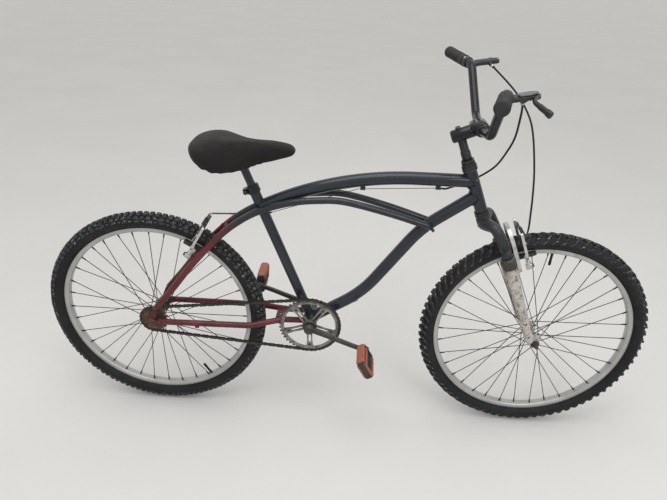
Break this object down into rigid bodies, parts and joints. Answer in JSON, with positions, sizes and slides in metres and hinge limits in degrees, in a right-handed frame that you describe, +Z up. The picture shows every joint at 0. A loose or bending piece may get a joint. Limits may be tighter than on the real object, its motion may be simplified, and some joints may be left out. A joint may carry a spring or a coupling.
{
  "type": "city cruiser bicycle",
  "caption": "Steel city cruiser bicycle with wire wheels, one gear, rim brakes, a telescopic fork, raised handlebar and soft saddle.",
  "frame": {"origin": "on top of the saddle, where the rider sits", "axes": "+X forward, +Y to the rider's left, +Z up; the bike stands upright, its wheels straight"},
  "size_m": [1.7797, 0.7064, 1.0796],
  "materials": {
    "frame_paint": "gloss",
    "stay_paint": "gloss",
    "black_metal": "satin",
    "dark_steel": "satin",
    "rusty_steel": "worn",
    "chain_steel": "oily",
    "ring_steel": "satin",
    "bright_metal": "polished",
    "rim_metal": "satin",
    "spoke_steel": "satin",
    "fork_black": "satin",
    "fork_white": "worn",
    "tyre_rubber": "matte",
    "grip_rubber": "matte",
    "saddle_cover": "matte",
    "housing": "satin",
    "lever_plastic": "matte",
    "pedal_plastic": "worn"
  },
  "bodies": {
    "frame": {"head_tube": "frame_paint", "headset": "black_metal", "top_tube": "frame_paint", "down_tube": "frame_paint", "seat_tube": "frame_paint", "seat_clamp": "black_metal", "twin_tube_right": "frame_paint", "twin_tube_left": "frame_paint", "chain_stay_right": "stay_paint", "chain_stay_left": "stay_paint", "bottom_bracket": "frame_paint", "bearing_cups": "dark_steel", "stand_plate": "stay_paint", "brake_bridge": "stay_paint", "rear_axle": "rusty_steel", "seatpost": "frame_paint", "saddle_rails": "dark_steel", "saddle": "saddle_cover", "chain": "chain_steel", "rear_brake_right": "bright_metal", "rear_brake_left": "bright_metal", "rear_noodle": "bright_metal", "rear_brake_cable": "housing"},
    "steering": {"steerer": "dark_steel", "fork_crown": "fork_black", "fork_leg_right": "fork_white", "fork_leg_left": "fork_white", "fork_arch": "bright_metal", "front_axle": "rusty_steel", "stem": "frame_paint", "handlebar": "frame_paint", "grips": "grip_rubber", "lever_right": "lever_plastic", "lever_left": "lever_plastic", "front_brake_right": "bright_metal", "front_brake_left": "bright_metal", "front_noodle": "bright_metal", "front_brake_cable": "housing", "steering_cable": "housing"},
    "front_wheel": {"front_tyre": "tyre_rubber", "front_rim": "rim_metal", "front_spokes": "spoke_steel", "front_hub": "bright_metal"},
    "rear_wheel": {"rear_tyre": "tyre_rubber", "rear_rim": "rim_metal", "rear_spokes": "spoke_steel", "rear_hub": "dark_steel", "sprocket": "rusty_steel"},
    "crank": {"chainring": "ring_steel", "crank_axle": "dark_steel", "crank_right": "black_metal", "crank_left": "black_metal"},
    "pedal_right": {"pedal_right": "pedal_plastic"},
    "pedal_left": {"pedal_left": "pedal_plastic"}
  },
  "joints": [
    {"name": "steering", "type": "hinge", "parent": "frame", "child": "steering", "pos_m": [0.68593, 0, -0.16664], "axis": [-0.3746, 0, 0.9272], "range_deg": [-65, 65], "deforming": ["steering_cable"]},
    {"name": "front_wheel_spin", "type": "hinge", "parent": "steering", "child": "front_wheel", "pos_m": [0.888, 0, -0.552], "axis": [0, 1, 0], "continuous": true},
    {"name": "rear_wheel_spin", "type": "hinge", "parent": "frame", "child": "rear_wheel", "pos_m": [-0.232, 0, -0.552], "axis": [0, 1, 0], "continuous": true},
    {"name": "crank_spin", "type": "hinge", "parent": "frame", "child": "crank", "pos_m": [0.234, 0, -0.542], "axis": [0, 1, 0], "continuous": true},
    {"name": "pedal_right_spin", "type": "hinge", "parent": "crank", "child": "pedal_right", "pos_m": [0.40135, -0.13, -0.59317], "axis": [0, 1, 0], "continuous": true},
    {"name": "pedal_left_spin", "type": "hinge", "parent": "crank", "child": "pedal_left", "pos_m": [0.06665, 0.13, -0.49084], "axis": [0, 1, 0], "continuous": true}
  ]
}
